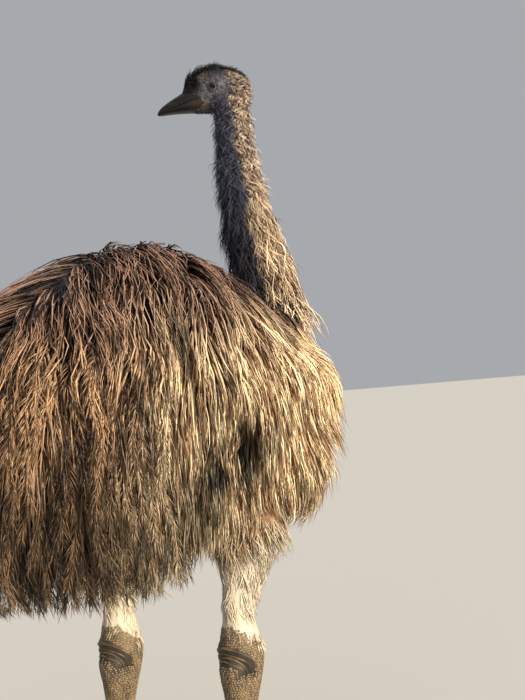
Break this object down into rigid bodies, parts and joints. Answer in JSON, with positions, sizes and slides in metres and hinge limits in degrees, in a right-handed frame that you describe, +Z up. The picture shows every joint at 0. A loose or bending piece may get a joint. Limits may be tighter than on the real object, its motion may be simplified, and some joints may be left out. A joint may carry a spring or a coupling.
{
  "type": "emu model",
  "caption": "Life-size still model of a standing adult emu with long hanging brown plumage, bare scaly feet, and the head turned back over its left side.",
  "frame": {"origin": "on the ground, under the middle of the whole bird's bounding box", "axes": "+Z up; -Y is the way the body faces; +X is the bird's left side"},
  "size_m": [0.518, 0.9385, 1.4627],
  "materials": {
    "plumage": "long, loose, double-shafted feathers, dark brown above and tan below",
    "head_hair": "short curled hair-like feathers over grey-blue skin",
    "pale_shank": "short cream feathers, brown above",
    "scaly_skin": "bare grey-brown scaly skin, matt",
    "bill_horn": "dark smooth horn",
    "claw_horn": "dark horn, worn at the tips",
    "eye": "dark brown, wet and glossy"
  },
  "bodies": {
    "root": {"trunk": "plumage", "tail": "plumage", "wing_left": "plumage", "wing_right": "plumage", "neck_lower": "plumage", "neck_upper": "head_hair", "head": "head_hair", "eye_left": "eye", "eye_right": "eye", "bill_upper": "bill_horn", "bill_lower": "bill_horn", "shank_left": "pale_shank", "tarsus_left": "scaly_skin", "toe_inner_left": "scaly_skin", "claw_inner_left": "claw_horn", "toe_middle_left": "scaly_skin", "claw_middle_left": "claw_horn", "toe_outer_left": "scaly_skin", "claw_outer_left": "claw_horn", "shank_right": "pale_shank", "tarsus_right": "scaly_skin", "toe_inner_right": "scaly_skin", "claw_inner_right": "claw_horn", "toe_middle_right": "scaly_skin", "claw_middle_right": "claw_horn", "toe_outer_right": "scaly_skin", "claw_outer_right": "claw_horn"}
  },
  "joints": []
}
